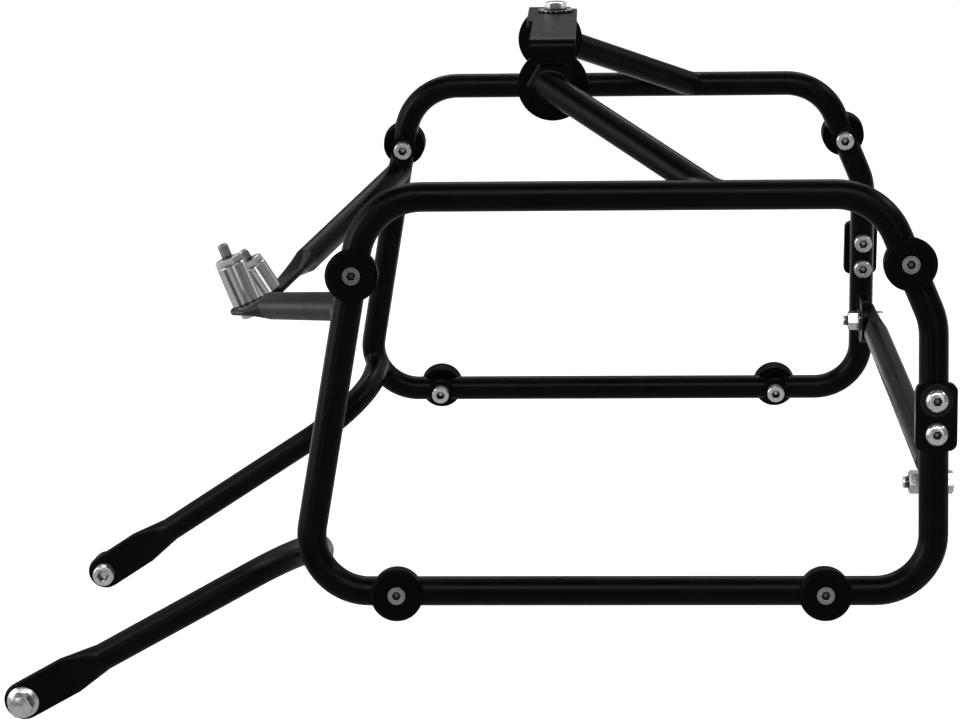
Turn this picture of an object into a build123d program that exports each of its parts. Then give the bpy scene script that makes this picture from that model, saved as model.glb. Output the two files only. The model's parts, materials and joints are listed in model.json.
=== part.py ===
from build123d import *
import os
from math import atan2, cos, radians, sin, sqrt, tan

# Pannier frame for a motorbike: two bent tube hoops, their stays, a rear cross bar and the fasteners.
# Sizes are in mm. X points rearwards, Y to the bike's right, Z up.
# The working zero is the upper front corner of the hoops, midway between them.
# At the end the whole frame is moved so that zero is the middle of its overall box.

# Tube
tube_od = 18.0
tube_wall = 2.0
pressed_width = 26.0
pressed_thickness = 4.6
press_run = 26.0

# Hoop outline, seen from the side, from its upper front corner
top_length = 307.0
slope_run = 33.0
slope_drop = 77.0
rear_lean = 2.0
front_lean = 43.0
hoop_height = 242.0
upper_bend = 40.0
lower_bend = 35.0
hoop_track = 451.0
hoop_cant = 5.0

# Pucks on the outer face of each hoop
puck_od = 32.0
puck_reach = 14.7
puck_edge = 2.0
puck_base_od = 31.0
upper_front_puck_drop = 46.0
upper_rear_puck_drop = 41.0
lower_front_puck_from_front = 59.0
lower_rear_puck_from_rear = 66.0
boss_od = 14.0
collar_od = 19.0
collar_reach = 10.5
insert_od = 12.5
insert_recess = 0.6
insert_edge = 0.8
insert_socket = 5.0
insert_socket_depth = 2.0
insert_floor = 1.1

# Fasteners
m8 = 8.0
m8_shank = 7.2
m8_clear = 8.4
m8_cap_od = 13.0
m8_cap_height = 8.0
m8_cap_socket = 6.0
m8_button_od = 14.0
m8_button_height = 4.4
m8_button_socket = 5.0
m8_hex = 13.0
m8_hex_height = 5.3
m8_nut_height = 6.5
m8_washer_od = 16.0
m8_washer = 1.6
m10 = 10.0
m10_shank = 9.0
m10_clear = 10.5
m10_hex = 14.0
m10_hex_height = 11.5
m10_flange_od = 21.0
m10_flange_rim = 1.2
m10_flange_slope = 2.4
m10_cap_od = 16.0
m10_cap_height = 10.0
m10_cap_socket = 8.0
peg_bolt_length = 40.0

# Lower stay, ending at the passenger-peg mount
lower_weld_part = 0.35
lower_turn = (-38.0, 165.0, -232.0)
left_peg_forward = 237.0
left_peg_drop = 344.0
right_peg_forward = 241.0
right_peg_drop = 365.0
stay_bend = 60.0
peg_flat = 36.0
peg_spacer_od = 24.0
peg_spacer_length = 12.0

# Upper stay, ending under its spacer
upper_weld_drop = 66.0
spacer_flat = 28.0
spacer_od = 20.0
spacer_nut_hex = 17.0
spacer_nut_height = 5.0
left_upper_end = (-96.0, 45.0, -107.5)
left_spacer_lean = (-0.35, 0.0, 0.937)
left_spacer_length = 28.0
left_spacer_thread_out = 10.0
right_upper_end = (-91.5, 45.0, -120.0)
right_spacer_lean = (-0.50, 0.0, 0.866)
right_spacer_length = 22.0
right_spacer_thread_out = 8.0

# Top stay and tail brackets
top_weld_back = 209.5
ear_od = 45.0
ear_track = 210.0
left_ear_back = 111.0
left_ear_rise = 48.5
right_ear_back = 106.0
right_ear_rise = 51.0
plate = 4.0
tab_width = 29.0
tab_top = 78.0
fold_radius = 2.0
tab_corner = 5.0
left_tab_end = 57.0
right_tab_end = 20.0
tail_bolt_back = 111.0
tail_bolt_across = 39.0
tail_boss_hex = 26.0
tail_boss_height = 10.0
tail_washer_od = 24.0
tail_thread_out = 20.0

# Rear cross bar and its tabs
bar_drop = 182.0
bar_bolt_inset = 25.0
bar_nut_height = 8.0
bar_thread_out = 3.5
brace_thickness = 6.0
brace_height = 34.0
brace_setback = 3.3
brace_clear = 1.0

# Lock plates on the rear tubes
lock_drop = 132.5
lock_width = 25.0
lock_height = 41.0
lock_thickness = 6.0
lock_corner = 5.0
lock_screw_spacing = 20.5
lock_washer_od = 20.0
lock_washer = 1.2
sleeve_head = 6.0

# Worked-out values
half_track = hoop_track / 2
tube_r = tube_od / 2
cant = radians(hoop_cant)
hoop_plane = Plane(origin=(0, half_track, 0), x_dir=(1, 0, 0), z_dir=(0, cos(cant), sin(cant)))
corner_top_rear = (top_length, 0)
corner_kink = (top_length + slope_run, slope_drop)
corner_low_rear = (top_length + slope_run + rear_lean, hoop_height)
corner_low_front = (-front_lean, hoop_height)
left_peg = Vector(-left_peg_forward, -lower_turn[1], -left_peg_drop)
right_peg = Vector(-right_peg_forward, lower_turn[1], -right_peg_drop)
left_front = (left_upper_end, left_spacer_lean, left_spacer_length, left_spacer_thread_out)
right_front = (right_upper_end, right_spacer_lean, right_spacer_length, right_spacer_thread_out)


# Places

def hoop_point(back, drop, out=0.0):
    """A point of the right hoop: how far back, how far down its plane and how far outside it."""
    return hoop_plane.from_local_coords(Vector(back, drop, out))


def front_tube_back(drop):
    return -front_lean * drop / hoop_height


def slope_back(drop):
    return top_length + slope_run * drop / slope_drop


def rear_tube_back(drop):
    return corner_kink[0] + rear_lean * (drop - slope_drop) / (hoop_height - slope_drop)


def low_front_bend(portion):
    """Distance back and drop on the lower front bend, from 0 at the front tube to 1 at the bottom tube."""
    lean = atan2(front_lean, hoop_height)
    turned = lean - portion * (radians(90) + lean)
    centre_drop = hoop_height - lower_bend
    centre_back = (lower_bend - sin(lean) * centre_drop) / cos(lean)
    return centre_back - lower_bend * cos(turned), centre_drop - lower_bend * sin(turned)


def facing(origin, direction, across=None):
    """A plane at origin whose z axis points along direction."""
    return Plane(origin=origin, x_dir=across, z_dir=direction)


def mirrored(piece):
    return mirror(piece, about=Plane.XZ)


# Tubes

def bar_along(path, diameter):
    """A round bar that follows a path of straight lines and bends."""
    pieces = []
    for edge in path.edges():
        section = Plane(edge @ 0, z_dir=edge % 0) * Circle(diameter / 2)
        pieces.append(sweep(section, path=edge))
    bar = pieces[0]
    for piece in pieces[1:]:
        bar = bar + piece
    return bar


def bowed_edge(start, middle, end):
    """An arc through middle, or a straight line where middle lies on it."""
    if abs(middle[1]) > abs(start[1]):
        return ThreePointArc(start, middle, end)
    return Line(start, end)


def four_edge_face(half_width, half_thickness, corner_x, corner_y):
    """A closed outline of four edges, so that a round section lofts cleanly to a flat one."""
    top = bowed_edge((corner_x, corner_y), (0, half_thickness), (-corner_x, corner_y))
    low = bowed_edge((-corner_x, -corner_y), (0, -half_thickness), (corner_x, -corner_y))
    left = ThreePointArc((-corner_x, corner_y), (-half_width, 0), (-corner_x, -corner_y))
    right = ThreePointArc((corner_x, -corner_y), (half_width, 0), (corner_x, corner_y))
    return make_face([top, left, low, right])


def pressed_end(reach, hole):
    """A tube end along +Z pressed flat across Y, with a rounded tip round a bolt hole.

    The hole is reach beyond the start of the flat.
    """
    corner = tube_r * sqrt(0.5)
    half_flat = pressed_thickness / 2
    round_face = four_edge_face(tube_r, tube_r, corner, corner)
    flat_face = four_edge_face(pressed_width / 2, half_flat, pressed_width / 2 - half_flat, half_flat)
    taper = loft([round_face, Pos(0, 0, press_run) * flat_face])
    flat = Pos(0, 0, press_run) * extrude(flat_face, reach)
    half_outline = flat_face & Pos(pressed_width / 2, 0, 0) * Rectangle(pressed_width, pressed_width)
    tip = Pos(0, 0, press_run + reach) * revolve(half_outline, Axis.Y, 360)
    bolt_hole = Pos(0, 0, press_run + reach) * Rot(90, 0, 0) * Cylinder(hole / 2, 4 * pressed_thickness)
    return taper + flat + tip - bolt_hole


def hoop_centre_line():
    """The closed centre line of the right hoop."""
    outline = FilletPolyline(
        (0, 0), corner_top_rear, corner_kink, corner_low_rear, corner_low_front,
        radius=[upper_bend, upper_bend, upper_bend, lower_bend, lower_bend], close=True)
    return hoop_plane * outline


def puck_places():
    """Name, distance back and drop of each puck on the hoop's centre line."""
    low_front = corner_low_front[0] + lower_front_puck_from_front
    low_rear = corner_low_rear[0] - lower_rear_puck_from_rear
    return [
        ("upper_front", front_tube_back(upper_front_puck_drop), upper_front_puck_drop),
        ("upper_rear", slope_back(upper_rear_puck_drop), upper_rear_puck_drop),
        ("lower_front", low_front, hoop_height),
        ("lower_rear", low_rear, hoop_height),
    ]


def lock_screw_drops():
    return [lock_drop - lock_screw_spacing / 2, lock_drop + lock_screw_spacing / 2]


def hoop_axis(back, drop):
    """A plane on the hoop's centre line whose z axis points out of the hoop's outer face."""
    return Plane(origin=hoop_point(back, drop), x_dir=(1, 0, 0), z_dir=hoop_plane.z_dir)


def make_hoop(hoop_path, hoop_bar):
    hoop = hoop_bar - bar_along(hoop_path, tube_od - 2 * tube_wall)
    for name, back, drop in puck_places():
        hoop = hoop - hoop_axis(back, drop) * Cylinder(boss_od / 2, 2 * tube_od)
    for drop in lock_screw_drops():
        hoop = hoop - hoop_axis(rear_tube_back(drop), drop) * Cylinder(m8_clear / 2, 2 * tube_od)
    return hoop


def make_lower_stay(hoop_bar, peg):
    """The right-hand stay for a peg mount; the left one is made for its own peg and then mirrored."""
    start = hoop_point(*low_front_bend(lower_weld_part))
    turn = Vector(*lower_turn)
    hole = Vector(peg.X, turn.Y, peg.Z)
    ahead = (hole - turn).normalized()
    round_end = hole - ahead * (press_run + peg_flat)
    path = FilletPolyline(start, turn, round_end, radius=stay_bend)
    stay = bar_along(path, tube_od) - bar_along(path, tube_od - 2 * tube_wall)
    end_plane = facing(round_end, ahead, ahead.cross(Vector(0, 1, 0)))
    stay = stay + end_plane * pressed_end(peg_flat, m10_clear)
    return stay - hoop_bar


def upper_stay_frame(front):
    """The start, the hole centre, the direction and the flat's normal of the upper stay."""
    end, spacer_lean, spacer_length, thread_out = front
    start = hoop_point(front_tube_back(upper_weld_drop), upper_weld_drop)
    hole = Vector(*end)
    ahead = (hole - start).normalized()
    lean = Vector(*spacer_lean)
    normal = (lean - ahead * lean.dot(ahead)).normalized()
    return start, hole, ahead, normal


def make_upper_stay(hoop_bar, front):
    start, hole, ahead, normal = upper_stay_frame(front)
    round_end = hole - ahead * (press_run + spacer_flat)
    path = Line(start, round_end)
    stay = bar_along(path, tube_od) - bar_along(path, tube_od - 2 * tube_wall)
    end_plane = facing(round_end, ahead, normal.cross(ahead))
    stay = stay + end_plane * pressed_end(spacer_flat, m8_clear)
    return stay - hoop_bar


def make_top_stay(hoop_bar, ear_back, ear_rise):
    start = hoop_point(top_weld_back, 0)
    finish = Vector(ear_back, ear_track / 2 + tail_boss_height, ear_rise)
    ahead = (finish - start).normalized()
    path = Line(start, finish + ahead * tube_od)
    stay = bar_along(path, tube_od) - bar_along(path, tube_od - 2 * tube_wall)
    beyond_boss = Box(6 * tube_od, 4 * tube_od, 6 * tube_od)
    beyond_boss = Pos(ear_back, finish.Y - 2 * tube_od, ear_rise) * beyond_boss
    return stay - hoop_bar - beyond_boss


# Tail

def make_tail_boss(ear_back, ear_rise):
    hexagon = RegularPolygon(tail_boss_hex / 2, 6, major_radius=False)
    boss_plane = facing((ear_back, ear_track / 2, ear_rise), (0, 1, 0), (1, 0, 0))
    return boss_plane * extrude(hexagon, tail_boss_height)


def make_tail_bracket(ear_back, ear_rise, top, far_end, bolt_across):
    """The right-hand bracket: a round ear, a fold and a tab reaching to far_end."""
    outside = ear_track / 2
    inside = outside - plate
    section = make_face(Polyline(
        (outside, ear_rise), (outside, top), (far_end, top), (far_end, top - plate),
        (inside, top - plate), (inside, ear_rise), close=True))
    outer_corner = section.vertices().sort_by_distance((outside, top, 0))[0]
    section = fillet(outer_corner, fold_radius + plate)
    inner_corner = section.vertices().sort_by_distance((inside, top - plate, 0))[0]
    section = fillet(inner_corner, fold_radius)
    section_plane = Plane(origin=(ear_back - tab_width / 2, 0, 0), x_dir=(0, 1, 0), z_dir=(1, 0, 0))
    folded = section_plane * extrude(section, tab_width)
    tip_edges = folded.edges().filter_by(Axis.Z).group_by(Axis.Y)[0]
    folded = fillet(tip_edges, tab_corner)
    ear_plane = facing((ear_back, inside, ear_rise), (0, 1, 0), (1, 0, 0))
    ear = ear_plane * extrude(Circle(ear_od / 2), plate)
    bolt_hole = Pos(tail_bolt_back, bolt_across, top) * Cylinder(m8_clear / 2, 4 * plate)
    return folded + ear - bolt_hole


# Fasteners, each with its bearing face at zero and its shank along +Z

def hex_prism(across_flats, height):
    return extrude(RegularPolygon(across_flats / 2, 6, major_radius=False), height)


def stepped_shank(shank, thread, length, thread_out):
    """A shank whose free end has the thread's outside diameter."""
    free_end = Pos(0, 0, length - thread_out) * extrude(Circle(thread / 2), thread_out)
    return extrude(Circle(shank / 2), length) + free_end


def cap_head(size, head_od, head_height, socket):
    head = Pos(0, 0, -head_height) * extrude(Circle(head_od / 2), head_height)
    head = chamfer(head.faces().sort_by(Axis.Z)[0].edges(), size / 16)
    return head - Pos(0, 0, -head_height) * hex_prism(socket, size / 2)


def button_screw(length):
    head = Pos(0, 0, -m8_button_height) * extrude(Circle(m8_button_od / 2), m8_button_height)
    head = fillet(head.faces().sort_by(Axis.Z)[0].edges(), 0.8 * m8_button_height)
    recess = Pos(0, 0, -m8_button_height) * hex_prism(m8_button_socket, 0.6 * m8_button_height)
    return head + extrude(Circle(m8 / 2), length) - recess


def chamfered_hex(across_flats, height):
    """A hex head from zero down to -height with its far corners turned off."""
    prism = Pos(0, 0, -height) * hex_prism(across_flats, height)
    corner = across_flats / sqrt(3)
    face_r = 0.475 * across_flats
    drop = (corner - face_r) * tan(radians(30))
    cone = Pos(0, 0, drop / 2 - height) * Cone(face_r, corner, drop)
    body = Pos(0, 0, (drop - height) / 2) * Cylinder(corner, height - drop)
    return prism & (cone + body)


def hex_bolt(length, thread_out):
    return chamfered_hex(m8_hex, m8_hex_height) + stepped_shank(m8_shank, m8, length, thread_out)


def flange_bolt(length, thread_out):
    """A hex bolt whose head slopes out to a round flange with a plain rim."""
    rim = Pos(0, 0, -m10_flange_rim) * extrude(Circle(m10_flange_od / 2), m10_flange_rim)
    slope = Cone(m10_hex / 2, m10_flange_od / 2, m10_flange_slope)
    slope = Pos(0, 0, -m10_flange_rim - m10_flange_slope / 2) * slope
    head = chamfered_hex(m10_hex, m10_hex_height)
    return head + slope + rim + stepped_shank(m10_shank, m10, length, thread_out)


def hex_nut(across_flats, height):
    """An M8 nut from zero up to height with the corners of its far face turned off."""
    return Rot(180, 0, 0) * chamfered_hex(across_flats, height) - extrude(Circle(m8_shank / 2), height)


def washer(outside, thickness, bore):
    return extrude(Circle(outside / 2) - Circle(bore / 2), thickness)


# Pucks

def make_puck(back, drop, hoop_bar):
    rim = Pos(0, 0, tube_r) * extrude(Circle(puck_od / 2), puck_reach - tube_r)
    rim = chamfer(rim.faces().sort_by(Axis.Z)[-1].edges(), puck_edge)
    drafted_base = Pos(0, 0, tube_r / 2) * Cone(puck_base_od / 2, puck_od / 2, tube_r)
    blank = drafted_base + rim
    blank = blank - extrude(Circle(insert_od / 2), puck_reach) - extrude(Circle(boss_od / 2), tube_r)
    return hoop_axis(back, drop) * blank - hoop_bar


def make_puck_boss(back, drop, hoop_bar):
    place = hoop_axis(back, drop)
    collar = place * Pos(0, 0, -collar_reach) * extrude(Circle(collar_od / 2), collar_reach) - hoop_bar
    sleeve = place * Pos(0, 0, -collar_reach) * extrude(Circle(boss_od / 2), collar_reach + tube_r)
    bore = place * Cylinder(m8_clear / 2, 4 * tube_od)
    return collar + sleeve - bore


def insert_bore():
    """Depth of the threaded bore in the insert, behind its hexagon socket."""
    return puck_reach - tube_r - insert_recess - insert_socket_depth - insert_floor


def make_puck_screw(back, drop):
    length = collar_reach + tube_r + insert_bore()
    screw = cap_head(m8, m8_cap_od, m8_cap_height, m8_cap_socket) + extrude(Circle(m8 / 2), length)
    return hoop_axis(back, drop) * Pos(0, 0, -collar_reach) * screw


def make_puck_insert(back, drop):
    length = puck_reach - tube_r - insert_recess
    insert = extrude(Circle(insert_od / 2), length)
    insert = chamfer(insert.faces().sort_by(Axis.Z)[-1].edges(), insert_edge)
    insert = insert - extrude(Circle(m8 / 2), insert_bore())
    insert = insert - Pos(0, 0, length - insert_socket_depth) * hex_prism(insert_socket, insert_socket_depth)
    return hoop_axis(back, drop) * Pos(0, 0, tube_r) * insert


# Lock plates

def make_lock_plate():
    outline = RectangleRounded(lock_width, lock_height, lock_corner)
    place = hoop_axis(rear_tube_back(lock_drop), lock_drop)
    blank = place * Pos(0, 0, tube_r) * extrude(outline, lock_thickness)
    for drop in lock_screw_drops():
        blank = blank - hoop_axis(rear_tube_back(drop), drop) * Cylinder(m8_clear / 2, 4 * tube_od)
    return blank


def lock_heads():
    """Back, drop and height of the bearing face under each screw head: the upper one sits on a washer."""
    upper, lower = lock_screw_drops()
    face = tube_r + lock_thickness
    return [(rear_tube_back(upper), upper, face + lock_washer), (rear_tube_back(lower), lower, face)]


def make_lock_screws():
    screws = []
    for back, drop, face in lock_heads():
        length = face + tube_r + 0.5 * sleeve_head
        screws.append(hoop_axis(back, drop) * Pos(0, 0, face) * Rot(180, 0, 0) * button_screw(length))
    return screws


def make_lock_washer():
    back, drop, face = lock_heads()[0]
    ring = washer(lock_washer_od, lock_washer, m8_clear)
    return hoop_axis(back, drop) * Pos(0, 0, face - lock_washer) * ring


def make_sleeve_nuts():
    nuts = []
    for back, drop, face in lock_heads():
        head = extrude(Circle(m8_cap_od / 2), sleeve_head)
        head = chamfer(head.faces().sort_by(Axis.Z)[-1].edges(), m8 / 16)
        head = head - extrude(Circle(m8 / 2), 0.5 * sleeve_head)
        head = head - Pos(0, 0, 0.6 * sleeve_head) * hex_prism(m8_cap_socket, 0.4 * sleeve_head)
        nuts.append(hoop_axis(back, drop) * Pos(0, 0, -tube_r) * Rot(180, 0, 0) * head)
    return nuts


# Rear cross bar

def bar_place():
    """The bolt centre on the joint face between the right brace tab and the bar."""
    on_tube = hoop_point(rear_tube_back(bar_drop), bar_drop)
    return Vector(on_tube.X + brace_setback, on_tube.Y - bar_bolt_inset, on_tube.Z), on_tube


def make_brace_tab(hoop_bar):
    bolt, on_tube = bar_place()
    tip = Pos(bolt.X, bolt.Y, bolt.Z) * Rot(0, -90, 0) * extrude(Circle(brace_height / 2), brace_thickness)
    span = on_tube.Y - bolt.Y
    body = Box(brace_thickness, span, brace_height)
    body = Pos(bolt.X - brace_thickness / 2, bolt.Y + span / 2, bolt.Z) * body
    hole = Pos(bolt.X, bolt.Y, bolt.Z) * Rot(0, 90, 0) * Cylinder(m8_clear / 2, 4 * brace_thickness)
    return tip + body - hole - hoop_bar


def make_cross_bar():
    bolt, on_tube = bar_place()
    reach = brace_height / 2 + brace_clear
    half_round = bolt.Y - press_run - reach
    axis_back = bolt.X + pressed_thickness / 2
    path = Line((axis_back, -half_round, bolt.Z), (axis_back, half_round, bolt.Z))
    bar = bar_along(path, tube_od) - bar_along(path, tube_od - 2 * tube_wall)
    end_plane = facing((axis_back, half_round, bolt.Z), (0, 1, 0), (0, 0, 1))
    end = end_plane * pressed_end(reach, m8_clear)
    return bar + end + mirrored(end)


def make_bar_bolt():
    bolt, on_tube = bar_place()
    back_face = bolt.X + pressed_thickness + m8_washer
    length = pressed_thickness + brace_thickness + 2 * m8_washer + bar_nut_height + bar_thread_out
    return facing((back_face, bolt.Y, bolt.Z), (-1, 0, 0), (0, 1, 0)) * hex_bolt(length, bar_thread_out)


def make_bar_washers():
    bolt, on_tube = bar_place()
    ring = washer(m8_washer_od, m8_washer, m8_clear)
    rear = facing((bolt.X + pressed_thickness, bolt.Y, bolt.Z), (1, 0, 0), (0, 1, 0)) * ring
    front = facing((bolt.X - brace_thickness, bolt.Y, bolt.Z), (-1, 0, 0), (0, 1, 0)) * ring
    return [rear, front]


def make_bar_nut():
    bolt, on_tube = bar_place()
    face = bolt.X - brace_thickness - m8_washer
    return facing((face, bolt.Y, bolt.Z), (-1, 0, 0), (0, 1, 0)) * hex_nut(m8_hex, bar_nut_height)


# Front fixings

def make_spacer(front):
    end, spacer_lean, spacer_length, thread_out = front
    start, hole, ahead, normal = upper_stay_frame(front)
    place = facing(hole + normal * (pressed_thickness / 2), normal, ahead)
    return place * turned_spacer(spacer_length)


def turned_spacer(spacer_length):
    body = washer(spacer_od, spacer_length, m8_clear)
    rims = [body.faces().sort_by(Axis.Z)[0].outer_wire(), body.faces().sort_by(Axis.Z)[-1].outer_wire()]
    return chamfer([edge for rim in rims for edge in rim.edges()], 0.6)


def make_spacer_bolt(front):
    end, spacer_lean, spacer_length, thread_out = front
    start, hole, ahead, normal = upper_stay_frame(front)
    length = pressed_thickness + spacer_length + spacer_nut_height + thread_out
    place = facing(hole - normal * (pressed_thickness / 2), normal, ahead)
    return place * hex_bolt(length, thread_out)


def make_spacer_nut(front):
    end, spacer_lean, spacer_length, thread_out = front
    start, hole, ahead, normal = upper_stay_frame(front)
    face = hole + normal * (pressed_thickness / 2 + spacer_length)
    return facing(face, normal, ahead) * hex_nut(spacer_nut_hex, spacer_nut_height)


def make_left_peg_bolt():
    outside = left_peg - Vector(0, pressed_thickness / 2, 0)
    bolt = flange_bolt(peg_bolt_length, peg_bolt_length - pressed_thickness)
    return facing(outside, (0, 1, 0), (1, 0, 0)) * bolt


def make_right_peg_screw():
    inside = right_peg - Vector(0, pressed_thickness / 2, 0)
    thread_out = peg_bolt_length - pressed_thickness - peg_spacer_length
    screw = cap_head(m10, m10_cap_od, m10_cap_height, m10_cap_socket)
    screw = screw + stepped_shank(m10_shank, m10, peg_bolt_length, thread_out)
    return facing(inside, (0, 1, 0), (1, 0, 0)) * screw


def make_right_peg_spacer():
    outside = right_peg + Vector(0, pressed_thickness / 2, 0)
    return facing(outside, (0, 1, 0), (1, 0, 0)) * washer(peg_spacer_od, peg_spacer_length, m10_clear)


def make_tail_bolt():
    length = 2 * plate + m8_washer + m8_nut_height + tail_thread_out
    place = facing((tail_bolt_back, tail_bolt_across, tab_top + m8_washer), (0, 0, -1), (1, 0, 0))
    return place * hex_bolt(length, tail_thread_out)


def make_tail_washer():
    return Pos(tail_bolt_back, tail_bolt_across, tab_top) * washer(tail_washer_od, m8_washer, m8_clear)


def make_tail_nut():
    face = tab_top - 2 * plate
    place = facing((tail_bolt_back, tail_bolt_across, face), (0, 0, -1), (1, 0, 0))
    return place * hex_nut(m8_hex, m8_nut_height)


# Assembly

def both_sides(nodes, name, right):
    nodes["right_" + name] = [right]
    nodes["left_" + name] = [mirrored(right)]


def in_pairs(pieces):
    return pieces + [mirrored(piece) for piece in pieces]


def make_nodes():
    hoop_path = hoop_centre_line()
    hoop_bar = bar_along(hoop_path, tube_od)
    nodes = {}
    both_sides(nodes, "hoop", make_hoop(hoop_path, hoop_bar))
    nodes["right_lower_stay"] = [make_lower_stay(hoop_bar, right_peg)]
    nodes["left_lower_stay"] = [mirrored(make_lower_stay(hoop_bar, left_peg))]
    nodes["right_top_stay"] = [make_top_stay(hoop_bar, right_ear_back, right_ear_rise)]
    nodes["left_top_stay"] = [mirrored(make_top_stay(hoop_bar, left_ear_back, left_ear_rise))]
    nodes["right_tail_boss"] = [make_tail_boss(right_ear_back, right_ear_rise)]
    nodes["left_tail_boss"] = [mirrored(make_tail_boss(left_ear_back, left_ear_rise))]
    both_sides(nodes, "brace_tab", make_brace_tab(hoop_bar))
    both_sides(nodes, "lock_plate", make_lock_plate())
    nodes["right_upper_stay"] = [make_upper_stay(hoop_bar, right_front)]
    nodes["left_upper_stay"] = [mirrored(make_upper_stay(hoop_bar, left_front))]
    nodes["right_spacer"] = [make_spacer(right_front)]
    nodes["left_spacer"] = [mirrored(make_spacer(left_front))]
    right_bracket = make_tail_bracket(
        right_ear_back, right_ear_rise, tab_top - plate, right_tab_end, tail_bolt_across)
    left_bracket = make_tail_bracket(
        left_ear_back, left_ear_rise, tab_top, -left_tab_end, -tail_bolt_across)
    nodes["right_tail_bracket"] = [right_bracket]
    nodes["left_tail_bracket"] = [mirrored(left_bracket)]
    nodes["cross_bar"] = [make_cross_bar()]
    places = puck_places()
    for name, back, drop in places:
        both_sides(nodes, name + "_puck", make_puck(back, drop, hoop_bar))
    bosses = [make_puck_boss(back, drop, hoop_bar) for name, back, drop in places]
    nodes["right_puck_bosses"] = bosses
    nodes["left_puck_bosses"] = [mirrored(boss) for boss in bosses]
    nodes["puck_screws"] = in_pairs([make_puck_screw(back, drop) for name, back, drop in places])
    nodes["puck_inserts"] = in_pairs([make_puck_insert(back, drop) for name, back, drop in places])
    nodes["lock_plate_screws"] = in_pairs(make_lock_screws())
    nodes["lock_plate_washers"] = in_pairs([make_lock_washer()])
    nodes["lock_plate_nuts"] = in_pairs(make_sleeve_nuts())
    nodes["cross_bar_bolts"] = in_pairs([make_bar_bolt()])
    nodes["cross_bar_washers"] = in_pairs(make_bar_washers())
    nodes["cross_bar_nuts"] = in_pairs([make_bar_nut()])
    nodes["spacer_bolts"] = [make_spacer_bolt(right_front), mirrored(make_spacer_bolt(left_front))]
    nodes["spacer_nuts"] = [make_spacer_nut(right_front), mirrored(make_spacer_nut(left_front))]
    nodes["left_peg_bolt"] = [make_left_peg_bolt()]
    nodes["right_peg_screw"] = [make_right_peg_screw()]
    nodes["right_peg_spacer"] = [make_right_peg_spacer()]
    nodes["tail_bolt"] = [make_tail_bolt()]
    nodes["tail_washer"] = [make_tail_washer()]
    nodes["tail_nut"] = [make_tail_nut()]
    return nodes


def separate_solids(pieces):
    return [solid for piece in pieces for solid in piece.solids()]


os.makedirs("parts", exist_ok=True)
groups = {name: separate_solids(pieces) for name, pieces in make_nodes().items()}
middle = Compound([solid for solids in groups.values() for solid in solids]).bounding_box().center()
for name, solids in groups.items():
    placed = [Pos(-middle.X, -middle.Y, -middle.Z) * solid for solid in solids]
    shape = placed[0] if len(placed) == 1 else Compound(placed)
    export_step(shape, "parts/" + name + ".step")
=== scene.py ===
import json
from math import atan2, cos, pi, radians, sin, sqrt, tan

import bpy
from mathutils import Matrix, Vector


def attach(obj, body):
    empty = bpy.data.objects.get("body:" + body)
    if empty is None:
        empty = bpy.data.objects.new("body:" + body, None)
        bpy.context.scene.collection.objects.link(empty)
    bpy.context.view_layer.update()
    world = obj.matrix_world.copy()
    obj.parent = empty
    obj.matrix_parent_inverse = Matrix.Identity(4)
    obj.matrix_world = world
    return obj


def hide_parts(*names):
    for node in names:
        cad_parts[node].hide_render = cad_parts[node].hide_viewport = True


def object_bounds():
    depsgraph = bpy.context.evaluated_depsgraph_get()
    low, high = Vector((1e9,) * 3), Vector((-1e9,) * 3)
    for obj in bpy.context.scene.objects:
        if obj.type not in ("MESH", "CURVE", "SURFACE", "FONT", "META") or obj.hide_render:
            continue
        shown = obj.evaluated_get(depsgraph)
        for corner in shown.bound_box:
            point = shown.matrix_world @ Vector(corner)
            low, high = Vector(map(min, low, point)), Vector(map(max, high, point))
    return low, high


# Looks of the pannier frame: materials, weld beads, threaded fasteners, light and camera.
# Sizes are in metres, in the frame's own axes: X rearwards, Y to the bike's right, Z up.

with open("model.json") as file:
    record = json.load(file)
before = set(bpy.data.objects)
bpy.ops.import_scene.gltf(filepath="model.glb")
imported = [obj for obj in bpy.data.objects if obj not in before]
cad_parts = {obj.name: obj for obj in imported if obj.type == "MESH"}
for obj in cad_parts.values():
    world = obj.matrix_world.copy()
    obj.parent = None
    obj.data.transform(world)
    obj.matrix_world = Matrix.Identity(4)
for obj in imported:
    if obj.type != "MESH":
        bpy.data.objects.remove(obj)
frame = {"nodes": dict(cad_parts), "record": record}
cad_low, cad_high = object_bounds()
nodes = frame["nodes"]
mounts = {mount["name"]: mount for mount in frame["record"]["mounts"]}

# Tube and hoop sizes, as the solids have them
tube_r = 0.009
half_track = 0.2255
cant = radians(5.0)
top_length = 0.307
slope_run = 0.033
slope_drop = 0.077
rear_lean = 0.002
front_lean = 0.043
hoop_height = 0.242
lower_bend = 0.035
pressed_thickness = 0.0046
plate = 0.004

# Stays, given for the right-hand side; the left ones are mirrored
lower_weld_part = 0.35
lower_turn = Vector((-0.038, 0.165, -0.232))
upper_weld_drop = 0.066
upper_ends = {"left": Vector((-0.0960, 0.045, -0.1075)), "right": Vector((-0.0915, 0.045, -0.1200))}
spacer_lengths = {"left": 0.028, "right": 0.022}
spacer_nut = 0.005
top_weld_back = 0.2095
ears = {"left": Vector((0.111, 0.105, 0.0485)), "right": Vector((0.106, 0.105, 0.0510))}
boss_height = 0.010
boss_hex = 0.026

# Peg ends, each on its own side
left_peg = Vector((-0.237, -0.165, -0.344))
right_peg = Vector((-0.241, 0.165, -0.365))
peg_spacer = 0.012
peg_bolt_length = 0.040

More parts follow.
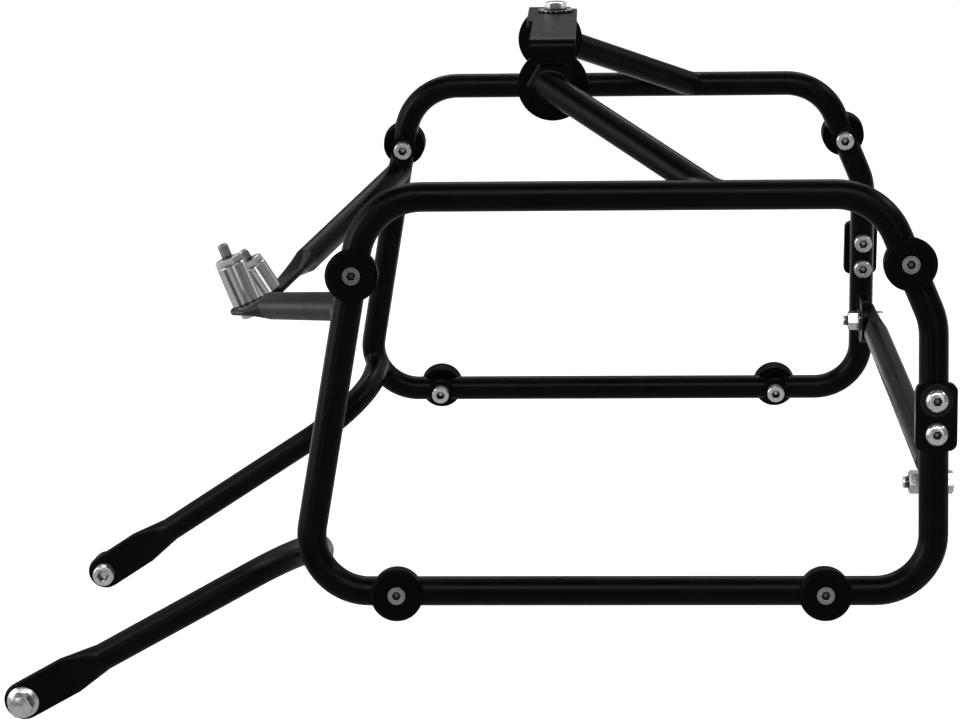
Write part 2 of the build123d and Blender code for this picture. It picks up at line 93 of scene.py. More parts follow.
# Rear cross bar and tail
bar_drop = 0.182
bar_bolt_inset = 0.025
bar_nut = 0.008
bar_thread_out = 0.0035
brace_setback = 0.0033
brace_thickness = 0.006
brace_height = 0.034
tab_top = 0.078
tail_bolt_place = Vector((0.111, 0.039, tab_top))
tail_thread_out = 0.020
tail_washer_r = 0.012
tail_washer_teeth = 20
tooth_root_part = 0.88
tooth_gap_rim = 0.0002
washer_thickness = 0.0016
washer_play = 0.0002
m8_nut = 0.0065
rear_back = top_length + slope_run + rear_lean * (bar_drop - slope_drop) / (hoop_height - slope_drop)

# The solids' zero is the upper front corner of the hoops; the frame's zero is the middle of its box
peg_mount = Vector(mounts["left_peg_stud"]["pos_m"])
shift = Vector((peg_mount.x - left_peg.x, 0.0, peg_mount.z - left_peg.z))
camera_place = Vector((0.14069, -1.870, 0.3102)) + shift

# Fastener sizes; the M8 head is a hair lower than the solid's, so that it stays inside the solids' box
m8_r = 0.004
m8_core = 0.0034
m8_pitch = 0.00125
m8_hex = 0.013
m8_hex_height = 0.0052
m10_r = 0.005
m10_core = 0.0042
m10_pitch = 0.0015
m10_hex = 0.014
m10_hex_height = 0.0115
m10_flange_r = 0.0105
m10_flange_rim = 0.0012
m10_flange_slope = 0.0024
m10_cap_r = 0.008
m10_cap_height = 0.010
m10_socket = 0.008
flange_edge_in = 0.0003
flange_edge_up = 0.0002
hex_face_part = 0.475
hex_chamfer = radians(30)
socket_depth_part = 0.5
socket_lip = 0.0005
drill_point_part = 0.2
drill_point_depth = 0.0008
thread_crest = 0.12
thread_flank = 0.7
thread_chamfer_pitches = 0.8

# Weld sizes: the legs of the fillets round the tube joints, and the bead on the brace tab
weld_sink = 0.0001
lower_leg = 0.0040
upper_leg = 0.0034
top_leg = 0.0046
boss_leg = 0.0022
ear_leg = 0.0020
fillet_hollow = 0.4
fillet_bury = 0.5
bead_ripple = 0.0024
fewest_ripples = 8
bead_skew = 0.18
bead_low = 0.94
bead_swell = 0.08
brace_bead = 0.0014
weld_smooth_angle = 60.0

# Ends of the lengths of hoop tube that the stays' welds are fitted to
front_line_drop = 0.03
bottom_line_back = 0.1
top_line_start = 0.05
top_line_end = 0.27
weld_search = 6 * tube_r

# Fineness of the meshes
segments = 60
rows_per_pitch = 10
steps_per_tooth = 6
bead_sides = 12
bend_steps = 30
fillet_steps = 5
stay_weld_steps = 160
boss_weld_steps = 120
ear_weld_steps = 150
brace_long_steps = 48
brace_short_steps = 10
search_halvings = 22

# Studio sizes
floor_half = 14.0
floor_gap = 0.03
floor_level = cad_low.z - floor_gap
card_reach = 3.0
card_lift = 0.002
patch_lift = 0.004

# Nearly all of the noise lies between these two
noise_low = 0.3
noise_high = 0.7


# Mesh pieces

def skin(rows, closed=True):
    """Vertices and faces of a tube of equal rows, closed at both ends unless told not to."""
    points = [point for row in rows for point in row]
    count = len(rows[0])
    faces = []
    for i in range(len(rows) - 1):
        for j in range(count):
            k = (j + 1) % count
            faces.append((i * count + j, i * count + k, (i + 1) * count + k, (i + 1) * count + j))
    if closed:
        last = (len(rows) - 1) * count
        faces.append(tuple(reversed(range(count))))
        faces.append(tuple(range(last, last + count)))
    return points, faces


def ring(rows):
    """Vertices and faces of rows that close on themselves both ways."""
    count = len(rows[0])
    whole = len(rows) * count
    points, faces = skin(rows + [rows[0]], closed=False)
    return points[:whole], [tuple(index % whole for index in face) for face in faces]


def placed(mesh_data, matrix):
    points, faces = mesh_data
    return [matrix @ Vector(point) for point in points], faces


def mirrored(mesh_data):
    """The same piece on the other side of the bike."""
    points, faces = mesh_data
    return [Vector((p[0], -p[1], p[2])) for p in points], [tuple(reversed(face)) for face in faces]


def add_piece(name, parts, material, smooth_angle=35.0):
    """One object made of several closed skins."""
    points = []
    faces = []
    for part_points, part_faces in parts:
        start = len(points)
        points.extend(part_points)
        faces.extend(tuple(start + index for index in face) for face in part_faces)
    mesh = bpy.data.meshes.new(name)
    mesh.from_pydata([tuple(p) for p in points], [], faces)
    mesh.materials.append(material)
    mesh.shade_smooth()
    mesh.set_sharp_from_angle(angle=radians(smooth_angle))
    mesh.validate()
    piece = bpy.data.objects.new(name, mesh)
    bpy.context.scene.collection.objects.link(piece)
    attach(piece, "root")
    return piece


def axes_at(origin, direction, across):
    """A matrix whose Z axis points along direction and whose X axis lies near across."""
    z = direction.normalized()
    x = (across - z * across.dot(z)).normalized()
    y = z.cross(x)
    turn = Matrix((x, y, z)).transposed().to_4x4()
    return Matrix.Translation(origin) @ turn


def angle_of(j):
    return 2 * pi * j / segments


def round_row(radius, z):
    return [(radius * cos(angle_of(j)), radius * sin(angle_of(j)), z) for j in range(segments)]


def hex_radius(across_flats, angle):
    return across_flats / 2 / cos((angle % (pi / 3)) - pi / 6)


def hex_row(across_flats, z):
    row = []
    for j in range(segments):
        radius = hex_radius(across_flats, angle_of(j))
        row.append((radius * cos(angle_of(j)), radius * sin(angle_of(j)), z))
    return row


def hex_head_rows(across_flats, height):
    """Rows of a hex head from its outer face down to zero, with its corners turned off."""
    face_r = hex_face_part * across_flats
    edge = []
    for j in range(segments):
        radius = hex_radius(across_flats, angle_of(j))
        drop = max(0.0, radius - face_r) * tan(hex_chamfer)
        edge.append((radius * cos(angle_of(j)), radius * sin(angle_of(j)), drop - height))
    return [round_row(face_r, -height), edge, hex_row(across_flats, 0.0)]


def socket_head_rows(radius, height, socket):
    """Rows of a round head with a hexagon socket, from the socket's floor out to its bearing face."""
    floor = socket_depth_part * height - height
    return [
        round_row(drill_point_part * socket, floor + drill_point_depth),
        hex_row(socket, floor),
        hex_row(socket, socket_lip - height),
        hex_row(socket + 2 * socket_lip, -height),
        round_row(radius - 2 * socket_lip, -height),
        round_row(radius - socket_lip, socket_lip / 2 - height),
        round_row(radius, 2 * socket_lip - height),
        round_row(radius, 0.0),
    ]


def thread_rows(radius, core, pitch, start, end):
    """Rows of a plain core up to start and of a helical thread from there to end."""
    chamfer = thread_chamfer_pitches * pitch
    rows = [round_row(core, 0.0), round_row(core, start)]
    count = int((end - start) / pitch * rows_per_pitch)
    for i in range(count + 1):
        z = start + (end - start) * i / count
        tip = radius - max(0.0, chamfer - (end - z))
        row = []
        for j in range(segments):
            phase = (z / pitch - j / segments) % 1.0
            groove = min(1.0, max(0.0, (abs(2 * phase - 1) - thread_crest) / thread_flank))
            r = min(tip, radius - (radius - core) * groove)
            row.append((r * cos(angle_of(j)), r * sin(angle_of(j)), z))
        rows.append(row)
    return rows


def m8_bolt(length, thread_out):
    head = hex_head_rows(m8_hex, m8_hex_height)
    return skin(head + thread_rows(m8_r, m8_core, m8_pitch, length - thread_out, length))


def flange_bolt(length, thread_out):
    """A hex head that runs down into a sloping flange with a plain rim."""
    head = hex_head_rows(m10_hex, m10_hex_height)[:-1]
    slope = m10_flange_slope / (m10_flange_r - m10_hex / 2)
    foot = []
    for j in range(segments):
        radius = hex_radius(m10_hex, angle_of(j))
        z = -m10_flange_rim - slope * (m10_flange_r - radius)
        foot.append((radius * cos(angle_of(j)), radius * sin(angle_of(j)), z))
    rim = [
        foot,
        round_row(m10_flange_r - flange_edge_in, -m10_flange_rim - flange_edge_up),
        round_row(m10_flange_r, -m10_flange_rim + flange_edge_up),
        round_row(m10_flange_r, 0.0),
    ]
    return skin(head + rim + thread_rows(m10_r, m10_core, m10_pitch, length - thread_out, length))


def socket_screw(length, thread_out):
    head = socket_head_rows(m10_cap_r, m10_cap_height, m10_socket)
    return skin(head + thread_rows(m10_r, m10_core, m10_pitch, length - thread_out, length))


def toothed_washer():
    """A washer whose rim is cut into square teeth, from zero up to its thickness."""
    root_r = tooth_root_part * tail_washer_r
    hole_r = m8_r + washer_play
    around = steps_per_tooth * tail_washer_teeth
    rows = [[], [], [], [], [], []]
    for j in range(around):
        angle = 2 * pi * j / around
        on_tooth = j % steps_per_tooth < steps_per_tooth / 2
        tooth_r = tail_washer_r if on_tooth else root_r + tooth_gap_rim
        low = [(root_r, 0.0), (hole_r, 0.0), (hole_r, washer_thickness)]
        high = [(root_r, washer_thickness), (tooth_r, washer_thickness), (tooth_r, 0.0)]
        for row, (radius, z) in zip(rows, low + high):
            row.append((radius * cos(angle), radius * sin(angle), z))
    return ring(rows)


# Weld beads

def bead_along(points, radius):
    """A closed bead with overlapping ripples along a closed line of points."""
    count = len(points)
    length = sum((points[i] - points[i - 1]).length for i in range(count))
    ripples = max(fewest_ripples, round(length / bead_ripple))
    middle = sum(points, Vector()) / count
    rows = []
    for i in range(count):
        along = (points[(i + 1) % count] - points[i - 1]).normalized()
        outward = points[i] - middle
        outward = (outward - along * outward.dot(along)).normalized()
        side = along.cross(outward)
        row = []
        for j in range(bead_sides):
            angle = 2 * pi * j / bead_sides
            wave = (i / count * ripples + bead_skew * cos(angle)) % 1.0
            r = radius * (bead_low + bead_swell * wave)
            row.append(points[i] + outward * (r * cos(angle)) + side * (r * sin(angle)))
        rows.append(row)
    return ring(rows)


def hoop_point(back, drop):
    """A point of the right hoop's centre line."""
    return Vector((back, half_track + drop * sin(cant), -drop * cos(cant))) + shift


def front_tube_point(drop):
    return hoop_point(-front_lean * drop / hoop_height, drop)


def low_front_bend(portion):
    """A point of the lower front bend, from 0 at the front tube to 1 at the bottom tube."""
    lean = atan2(front_lean, hoop_height)
    turned = lean - portion * (radians(90) + lean)
    centre_drop = hoop_height - lower_bend
    centre_back = (lower_bend - sin(lean) * centre_drop) / cos(lean)
    return hoop_point(centre_back - lower_bend * cos(turned), centre_drop - lower_bend * sin(turned))


def nearest_on_line(spot, line):
    """The point of a line of points that lies nearest to a spot."""
    best = line[0]
    for i in range(len(line) - 1):
        step = line[i + 1] - line[i]
        part = (spot - line[i]).dot(step) / step.length_squared
        point = line[i] + step * min(1.0, max(0.0, part))
        if (spot - point).length < (spot - best).length:
            best = point
    return best


def fillet_weld(steps, corner_at):
    """A hollow fillet round a joint; corner_at gives its root and its two edges at an angle."""
    rows = []
    for i in range(steps):
        root, high, low = corner_at(2 * pi * i / steps)
        control = root * fillet_hollow + (high + low) * ((1 - fillet_hollow) / 2)
        row = [root + (root - (high + low) / 2) * fillet_bury]
        for k in range(fillet_steps + 1):
            t = k / fillet_steps
            row.append(high * (1 - t) ** 2 + control * (2 * t * (1 - t)) + low * t ** 2)
        rows.append(row)
    return ring(rows)


def tube_weld(start, towards, hoop_line, leg):
    """The fillet where a stay from start towards a spot leaves the hoop tube."""
    along = (towards - start).normalized()
    across = along.orthogonal().normalized()
    third = along.cross(across)

    def corner_at(angle):
        outward = across * cos(angle) + third * sin(angle)
        edge = start + outward * tube_r
        inside = 0.0
        outside = weld_search
        for halving in range(search_halvings):
            middle = (inside + outside) / 2
            spot = edge + along * middle
            if (spot - nearest_on_line(spot, hoop_line)).length < tube_r:
                inside = middle
            else:
                outside = middle
        root = edge + along * inside
        beside = root + outward * leg
        centre = nearest_on_line(beside, hoop_line)
        high = root + along * leg - outward * weld_sink
        low = centre + (beside - centre).normalized() * (tube_r - weld_sink)
        return root, high, low

    return fillet_weld(stay_weld_steps, corner_at)


def boss_weld(ear):
    """The fillet where the top stay's end meets the tail boss."""
    start = hoop_point(top_weld_back, 0.0)
    face_y = ear.y + boss_height
    finish = Vector((ear.x, face_y, ear.z)) + shift
    along = (finish - start).normalized()
    across = along.cross(Vector((0, 1, 0))).normalized()
    third = along.cross(across)

    def corner_at(angle):
        outward = across * cos(angle) + third * sin(angle)
        spot = finish + outward * tube_r
        root = spot + along * ((face_y - spot.y) / along.y)
        beside = root + outward * boss_leg
        high = root - along * boss_leg - outward * weld_sink
        low = Vector((beside.x, face_y - weld_sink, beside.z))
        return root, high, low

    return fillet_weld(boss_weld_steps, corner_at)


def ear_weld(ear):
    """The fillet round the tail boss, on the ear."""
    centre = ear + shift

    def corner_at(angle):
        outward = Vector((cos(angle), 0.0, sin(angle)))
        root = centre + outward * hex_radius(boss_hex, angle)
        high = root + Vector((0, ear_leg, 0)) - outward * weld_sink
        low = root + outward * ear_leg - Vector((0, weld_sink, 0))
        return root, high, low

    return fillet_weld(ear_weld_steps, corner_at)


def brace_weld():
    """The bead round the brace tab's root, on the rear tube."""
    on_tube = hoop_point(rear_back, bar_drop)
    front = brace_setback - brace_thickness
    back = brace_setback
    half = brace_height / 2
    corners = [(front, half), (front, -half), (back, -half), (back, half)]
    steps = [brace_long_steps, brace_short_steps, brace_long_steps, brace_short_steps]
    line = []
    for i in range(4):
        x0, z0 = corners[i]
        x1, z1 = corners[(i + 1) % 4]
        for j in range(steps[i]):
            part = j / steps[i]
            x = x0 + (x1 - x0) * part
            z = z0 + (z1 - z0) * part
            lean = tan(cant) * z
            y = -sqrt(tube_r * tube_r - x * x) / cos(cant) - lean
            line.append(on_tube + Vector((x, y, z)))
    return bead_along(line, brace_bead)


def side_welds(side):
    """The beads of one side, given for the right."""
    bend = [low_front_bend(i / bend_steps) for i in range(bend_steps + 1)]
    front_line = [front_tube_point(front_line_drop)] + bend + [hoop_point(bottom_line_back, hoop_height)]
    top_line = [hoop_point(top_line_start, 0.0), hoop_point(top_line_end, 0.0)]
    boss = ears[side] + Vector((0, boss_height, 0)) + shift
    lower_start = low_front_bend(lower_weld_part)
    upper_start = front_tube_point(upper_weld_drop)
    return {
        "lower_stay_weld": tube_weld(lower_start, lower_turn + shift, front_line, lower_leg),
        "upper_stay_weld": tube_weld(upper_start, upper_ends[side] + shift, front_line, upper_leg),
        "top_stay_weld": tube_weld(hoop_point(top_weld_back, 0.0), boss, top_line, top_leg),
        "tail_boss_weld": boss_weld(ears[side]),
        "tail_ear_weld": ear_weld(ears[side]),
        "brace_tab_weld": brace_weld(),
    }


def add_welds(material):
    for name, bead in side_welds("right").items():
        add_piece("right_" + name, [bead], material, weld_smooth_angle)
    for name, bead in side_welds("left").items():
        add_piece("left_" + name, [mirrored(bead)], material, weld_smooth_angle)


# Threaded fasteners, in place of the plain ones

def swap_node(node, parts, material):
    """Puts a finer piece in place of a plain node."""
    piece = add_piece(node + "_fine", parts, material)
    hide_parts(node)


def spacer_axis(side):
    return Vector(mounts[side + "_spacer_stud"]["axis"]).normalized()


def spacer_bolt(side):
    mount = mounts[side + "_spacer_stud"]
    axis = spacer_axis(side)
    out = mount["dims"]["length_mm"] / 1000
    length = pressed_thickness + spacer_lengths[side] + spacer_nut + out
    tip = Vector(mount["pos_m"]) + axis * (out / 2)
    ahead = upper_ends[side] + shift - front_tube_point(upper_weld_drop)
    if side == "left":
        ahead.y = -ahead.y
    return placed(m8_bolt(length, out), axes_at(tip - axis * length, axis, ahead))


def bar_bolt():
    on_tube = hoop_point(rear_back, bar_drop)
    back = brace_setback + pressed_thickness + washer_thickness
    face = on_tube + Vector((back, -bar_bolt_inset, 0))
    length = pressed_thickness + brace_thickness + 2 * washer_thickness + bar_nut + bar_thread_out
    return placed(m8_bolt(length, bar_thread_out), axes_at(face, Vector((-1, 0, 0)), Vector((0, 1, 0))))


def tail_bolt():
    face = tail_bolt_place + Vector((0, 0, washer_thickness)) + shift
    length = 2 * plate + washer_thickness + m8_nut + tail_thread_out
    return placed(m8_bolt(length, tail_thread_out), axes_at(face, Vector((0, 0, -1)), Vector((1, 0, 0))))


def peg_place(peg):
    """A matrix on the outer face of the left peg flat or the inner face of the right one."""
    face = peg + shift - Vector((0, pressed_thickness / 2, 0))
    return axes_at(face, Vector((0, 1, 0)), Vector((1, 0, 0)))


def add_fasteners(material):
    left_out = peg_bolt_length - pressed_thickness
    right_out = left_out - peg_spacer
    bar = bar_bolt()
    swap_node("spacer_bolts", [spacer_bolt("left"), spacer_bolt("right")], material)
    swap_node("cross_bar_bolts", [bar, mirrored(bar)], material)
    swap_node("tail_bolt", [tail_bolt()], material)
    left_bolt = flange_bolt(peg_bolt_length, left_out)
    swap_node("left_peg_bolt", [placed(left_bolt, peg_place(left_peg))], material)
    right_screw = socket_screw(peg_bolt_length, right_out)
    swap_node("right_peg_screw", [placed(right_screw, peg_place(right_peg))], material)
    washer_place = Matrix.Translation(tail_bolt_place + shift)
    swap_node("tail_washer", [placed(toothed_washer(), washer_place)], material)


# Materials

def grey(level):
    return (level, level, level)


def warm_grey(level):
    return (level, level, 0.98 * level)


def new_material(name):
    material = bpy.data.materials.new(name)
    material.use_nodes = True
    tree = material.node_tree
    return material, tree, tree.nodes["Principled BSDF"]


def add_noise(tree, scale, detail=2.0, roughness=0.5):
    coords = tree.nodes.new("ShaderNodeTexCoord")
    noise = tree.nodes.new("ShaderNodeTexNoise")
    noise.inputs["Scale"].default_value = scale
    noise.inputs["Detail"].default_value = detail
    noise.inputs["Roughness"].default_value = roughness
    tree.links.new(coords.outputs["Object"], noise.inputs["Vector"])
    return noise.outputs["Fac"]


def remap(tree, value, low, high, from_low=noise_low, from_high=noise_high):
    node = tree.nodes.new("ShaderNodeMapRange")
    node.inputs["From Min"].default_value = from_low
    node.inputs["From Max"].default_value = from_high
    node.inputs["To Min"].default_value = low
    node.inputs["To Max"].default_value = high
    tree.links.new(value, node.inputs["Value"])
    return node.outputs["Result"]


def blend_colours(tree, value, first, second):
    ramp = tree.nodes.new("ShaderNodeValToRGB")
    ramp.color_ramp.elements[0].position = noise_low
    ramp.color_ramp.elements[0].color = (*first, 1.0)
    ramp.color_ramp.elements[1].position = noise_high
    ramp.color_ramp.elements[1].color = (*second, 1.0)
    tree.links.new(value, ramp.inputs["Fac"])
    return ramp.outputs["Color"]


def paint_crevice_shade(tree, colour, reach):
    """The colour with painted shade, nearly black in sockets, threads and gaps that are narrower than
    reach, where an ambient occlusion node finds them.
    """
    # Painted shade: ambient occlusion darkens the colour in recesses
    shade = tree.nodes.new("ShaderNodeAmbientOcclusion")
    shade.samples = 8
    shade.inputs["Distance"].default_value = reach
    painted_shade_amount = remap(tree, shade.outputs["AO"], low=0.02, high=1.0, from_low=0.62, from_high=0.99)
    mix = tree.nodes.new("ShaderNodeMix")
    mix.data_type = "RGBA"
    mix.inputs["A"].default_value = (0.0, 0.0, 0.0, 1.0)
    tree.links.new(painted_shade_amount, mix.inputs["Factor"])
    tree.links.new(colour, mix.inputs["B"])
    return mix.outputs["Result"]


def rounded_normal(tree, edge_radius):
    """Shading in which sharp edges look rounded."""
    bevel = tree.nodes.new("ShaderNodeBevel")
    bevel.samples = 6
    bevel.inputs["Radius"].default_value = edge_radius
    return bevel.outputs["Normal"]


def add_bump(tree, shader, layers, edge_radius):
    """Height layers as (height, strength, distance), on edges rounded by edge_radius."""
    normal = rounded_normal(tree, edge_radius)
    for height, strength, distance in layers:
        bump = tree.nodes.new("ShaderNodeBump")
        bump.inputs["Strength"].default_value = strength
        bump.inputs["Distance"].default_value = distance
        tree.links.new(height, bump.inputs["Height"])
        tree.links.new(normal, bump.inputs["Normal"])
        normal = bump.outputs["Normal"]
    tree.links.new(normal, shader.inputs["Normal"])


def powder_coat_material():
    """Satin black powder coat with a fine orange peel."""
    material, tree, shader = new_material("satin_powder_coat")
    broad = add_noise(tree, scale=45.0, detail=3.0)
    peel = add_noise(tree, scale=950.0, roughness=0.6)
    flow = add_noise(tree, scale=260.0)
    tree.links.new(blend_colours(tree, broad, grey(0.0009), grey(0.0019)), shader.inputs["Base Color"])
    tree.links.new(remap(tree, broad, low=0.29, high=0.37), shader.inputs["Roughness"])
    shader.inputs["Specular IOR Level"].default_value = 0.085
    add_bump(tree, shader, [(flow, 0.25, 0.0001), (peel, 0.3, 0.00005)], edge_radius=0.0004)
    return material


def black_steel_material():
    """Blackened steel of the lock plate washers and the peg spacer."""
    material, tree, shader = new_material("blackened_steel")
    broad = add_noise(tree, scale=120.0, detail=3.0)
    fine = add_noise(tree, scale=1600.0, roughness=0.6)
    tree.links.new(blend_colours(tree, broad, grey(0.004), grey(0.008)), shader.inputs["Base Color"])
    tree.links.new(remap(tree, fine, low=0.26, high=0.36), shader.inputs["Roughness"])
    shader.inputs["Specular IOR Level"].default_value = 0.2
    add_bump(tree, shader, [(fine, 0.2, 0.00004)], edge_radius=0.0003)
    return material


def puck_material():
    """Matte moulded plastic with a faint grain."""
    material, tree, shader = new_material("matte_puck_plastic")
    broad = add_noise(tree, scale=90.0, detail=3.0)
    grain = add_noise(tree, scale=1400.0, detail=3.0, roughness=0.7)
    tree.links.new(blend_colours(tree, broad, grey(0.0007), grey(0.0015)), shader.inputs["Base Color"])
    tree.links.new(remap(tree, grain, low=0.5, high=0.62), shader.inputs["Roughness"])
    shader.inputs["Specular IOR Level"].default_value = 0.05
    add_bump(tree, shader, [(grain, 0.35, 0.00006)], edge_radius=0.0005)
    return material


def steel_material(name, dark, light):
    """Plated steel, with painted shade that darkens its sockets and threads."""
    material, tree, shader = new_material(name)
    broad = add_noise(tree, scale=180.0, detail=3.0)
    colour = blend_colours(tree, broad, warm_grey(dark), warm_grey(light))
    # Painted shade: the colour goes nearly black in sockets, threads and gaps
    tree.links.new(paint_crevice_shade(tree, colour, reach=0.003), shader.inputs["Base Color"])
    tree.links.new(remap(tree, broad, low=0.22, high=0.28), shader.inputs["Roughness"])
    shader.inputs["Metallic"].default_value = 0.95
    tree.links.new(rounded_normal(tree, edge_radius=0.0002), shader.inputs["Normal"])
    return material


def turned_aluminium_material(name, axis):
    """Aluminium with the faint rings that turning leaves round the given axis."""
    material, tree, shader = new_material(name)
    coords = tree.nodes.new("ShaderNodeTexCoord")
    along = tree.nodes.new("ShaderNodeVectorMath")
    along.operation = "DOT_PRODUCT"
    along.inputs[1].default_value = axis
    tree.links.new(coords.outputs["Object"], along.inputs[0])
    noise = tree.nodes.new("ShaderNodeTexNoise")
    noise.noise_dimensions = "1D"
    noise.inputs["Scale"].default_value = 1400.0
    tree.links.new(along.outputs["Value"], noise.inputs["W"])
    rings = noise.outputs["Fac"]
    colour = blend_colours(tree, rings, (0.82, 0.825, 0.83), (0.88, 0.885, 0.89))
    tree.links.new(colour, shader.inputs["Base Color"])
    tree.links.new(remap(tree, rings, low=0.17, high=0.21), shader.inputs["Roughness"])
    shader.inputs["Metallic"].default_value = 0.97
    tree.links.new(rounded_normal(tree, edge_radius=0.0003), shader.inputs["Normal"])
    return material


def dress_nodes(materials):
    """Gives every CAD node its own material, or else the one of its slot."""
    for part in frame["record"]["subparts"]:
        node = nodes[part["node"]]
        material = materials.get(part["node"], materials.get(part["material_slot"]))
        node.data.materials.clear()
        node.data.materials.append(material)


# Studio

def seen_directly(tree):
    """1 for camera, glossy and transmission rays, and 0 for the light that falls on the object."""
    path = tree.nodes.new("ShaderNodeLightPath")
    value = path.outputs["Is Camera Ray"]
    for name in ("Is Glossy Ray", "Is Transmission Ray"):
        larger = tree.nodes.new("ShaderNodeMath")
        larger.operation = "MAXIMUM"
        tree.links.new(value, larger.inputs[0])
        tree.links.new(path.outputs[name], larger.inputs[1])
        value = larger.outputs["Value"]
    return value


def add_sheet(name, corners, material):
    """A flat four-cornered piece of the studio."""
    mesh = bpy.data.meshes.new(name)
    mesh.from_pydata([tuple(corner) for corner in corners], [], [(0, 1, 2, 3)])
    mesh.materials.append(material)
    sheet = bpy.data.objects.new(name, mesh)
    bpy.context.scene.collection.objects.link(sheet)
    return sheet


def add_floor():
    """A white floor that stays white to the camera and in reflections, and keeps the shadow."""
    material, tree, shader = new_material("white_floor")
    shader.inputs["Base Color"].default_value = (*grey(0.82), 1.0)
    shader.inputs["Roughness"].default_value = 0.9
    shader.inputs["Specular IOR Level"].default_value = 0.0
    glow = tree.nodes.new("ShaderNodeEmission")
    glow.inputs["Strength"].default_value = 0.57
    both = tree.nodes.new("ShaderNodeAddShader")
    mix = tree.nodes.new("ShaderNodeMixShader")
    tree.links.new(shader.outputs["BSDF"], both.inputs[0])
    tree.links.new(glow.outputs["Emission"], both.inputs[1])
    tree.links.new(seen_directly(tree), mix.inputs["Fac"])
    tree.links.new(shader.outputs["BSDF"], mix.inputs[1])
    tree.links.new(both.outputs["Shader"], mix.inputs[2])
    tree.links.new(mix.outputs["Shader"], tree.nodes["Material Output"].inputs["Surface"])
    ends = [(-1, -1), (1, -1), (1, 1), (-1, 1)]
    corners = [(floor_half * x, floor_half * y, floor_level) for x, y in ends]
    floor = add_sheet("floor", corners, material)


def add_world():
    """A white surround that lights the object at half its strength."""
    world = bpy.data.worlds.new("studio")
    bpy.context.scene.world = world
    world.use_nodes = True
    tree = world.node_tree
    background = tree.nodes["Background"]
    background.inputs["Color"].default_value = (*grey(1.0), 1.0)
    level = tree.nodes.new("ShaderNodeMapRange")
    level.inputs["To Min"].default_value = 0.5
    level.inputs["To Max"].default_value = 1.0
    tree.links.new(seen_directly(tree), level.inputs["Value"])
    tree.links.new(level.outputs["Result"], background.inputs["Strength"])


def add_softbox(name, place, width, height, power):
    """A soft lamp that faces the object."""
    light = bpy.data.lights.new(name, "AREA")
    light.shape = "RECTANGLE"
    light.size = width
    light.size_y = height
    light.energy = power
    lamp = bpy.data.objects.new(name, light)
    lamp.location = place
    lamp.rotation_mode = "QUATERNION"
    lamp.rotation_quaternion = (-Vector(place)).to_track_quat("-Z", "Y")
    bpy.context.scene.collection.objects.link(lamp)


def add_card(name, middle, across, up, glow=0.0):
    """A card seen only by reflections; across and up are half its width and half its height."""
    material, tree, shader = new_material(name)
    shader.inputs["Base Color"].default_value = (*grey(0.0), 1.0)
    shader.inputs["Specular IOR Level"].default_value = 0.0
    shader.inputs["Emission Color"].default_value = (*grey(1.0), 1.0)
    shader.inputs["Emission Strength"].default_value = glow
    corners = [middle - across - up, middle + across - up, middle + across + up, middle - across + up]
    card = add_sheet(name, corners, material)
    card.visible_camera = False
    card.visible_diffuse = False
    card.visible_shadow = False


def add_cards():
    """Grey and black cards that keep the satin coat deep, and white strips for the bright metal."""
    wide = Vector((card_reach, 0, 0))
    deep = Vector((0, 1.7, 0))
    tall = Vector((0, 0, 1.8))
    add_card("card_behind_camera", Vector((0, -2.7, 0.4)), wide, Vector((0, 0, 1.2)), glow=0.1)
    for side in (-1, 1):
        strip = Vector((1.1 * side, -2.6, 0.4))
        add_card("white_strip", strip, Vector((0.35, 0, 0)), Vector((0, 0, 0.45)), glow=1.6)
    add_card("card_overhead", Vector((0, 0, 2.7)), wide, deep)
    add_card("card_on_floor", Vector((0, -1.0, floor_level + card_lift)), wide, deep, glow=0.36)
    dark_patch = Vector((-0.75, -0.72, floor_level + patch_lift))
    add_card("dark_patch_on_floor", dark_patch, Vector((0.45, 0, 0)), Vector((0, 0.3, 0)))
    add_card("card_at_tail", Vector((card_reach, -0.5, 0.9)), Vector((0, 2.2, 0)), tall, glow=0.15)
    add_card("grey_card_behind", Vector((0, 2.6, 1.0)), wide, tall, glow=0.25)


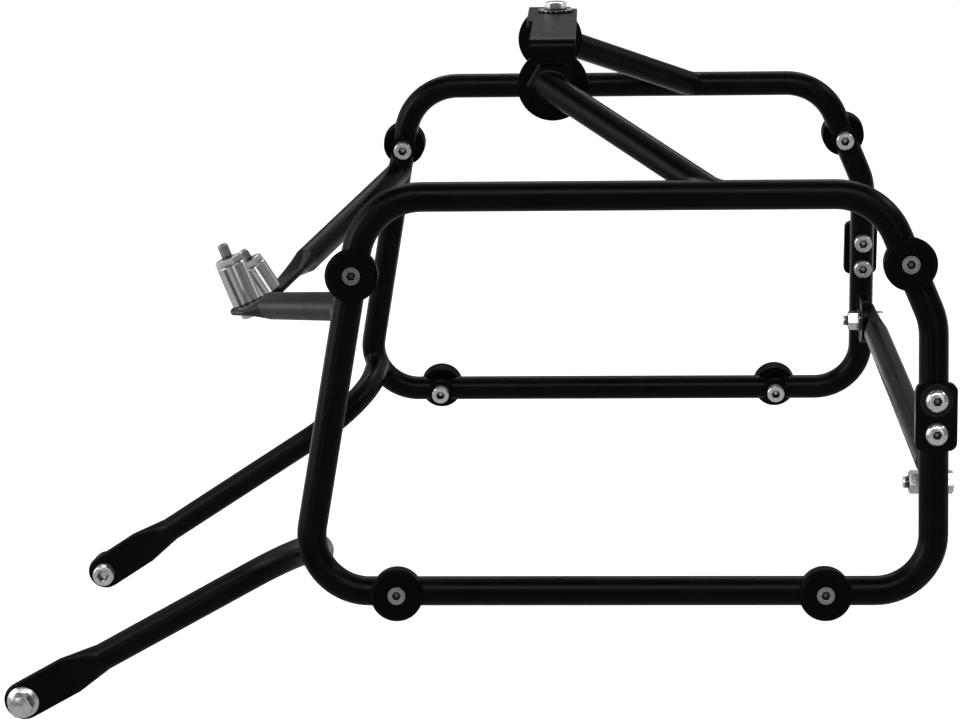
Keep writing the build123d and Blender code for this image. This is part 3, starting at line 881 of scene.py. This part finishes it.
def add_lights():
    add_softbox("front_softbox", (-2.4, -0.9, 0.8), width=1.1, height=1.4, power=20.0)
    add_softbox("camera_side_softbox", (0.3, -2.2, 2.0), width=2.4, height=0.34, power=17.0)
    add_softbox("overhead_softbox", (0.0, 0.4, 2.4), width=1.6, height=0.8, power=2.5)
    add_softbox("far_side_softbox", (0.1, 2.2, 2.0), width=2.4, height=0.34, power=15.0)
    add_softbox("tail_softbox", (2.3, 0.2, 1.9), width=1.6, height=0.34, power=10.0)


def add_camera():
    """The photograph's viewpoint."""
    yaw = radians(-2.55)
    pitch = radians(14.07)
    roll = radians(-0.86)
    forward = Vector((sin(yaw), cos(yaw), 0.0))
    sideways = Vector((cos(yaw), -sin(yaw), 0.0))
    up = Vector((0.0, 0.0, 1.0))
    look = forward * cos(pitch) - up * sin(pitch)
    upright = up * cos(pitch) + forward * sin(pitch)
    right = sideways * cos(roll) + upright * sin(roll)
    top = upright * cos(roll) - sideways * sin(roll)
    camera = bpy.data.cameras.new("camera")
    camera.sensor_fit = "HORIZONTAL"
    camera.sensor_width = 36.0
    camera.lens = 104.8
    camera.clip_end = 60.0
    holder = bpy.data.objects.new("camera", camera)
    turn = Matrix((right, top, -look)).transposed().to_4x4()
    holder.matrix_world = Matrix.Translation(camera_place) @ turn
    bpy.context.scene.collection.objects.link(holder)
    bpy.context.scene.camera = holder


def main():
    powder_coat = powder_coat_material()
    plated_steel = steel_material("bright_zinc_plate", dark=0.80, light=0.90)
    materials = {
        "powder_coat": powder_coat,
        "black_steel": black_steel_material(),
        "puck_plastic": puck_material(),
        "plated_steel": plated_steel,
        "puck_inserts": steel_material("dull_insert_steel", dark=0.36, light=0.48),
        "left_spacer": turned_aluminium_material("left_turned_aluminium", spacer_axis("left")),
        "right_spacer": turned_aluminium_material("right_turned_aluminium", spacer_axis("right")),
    }
    dress_nodes(materials)
    add_welds(powder_coat)
    add_fasteners(plated_steel)
    add_floor()
    add_world()
    add_lights()
    add_cards()
    add_camera()
    bpy.context.scene.view_settings.view_transform = "Standard"


main()
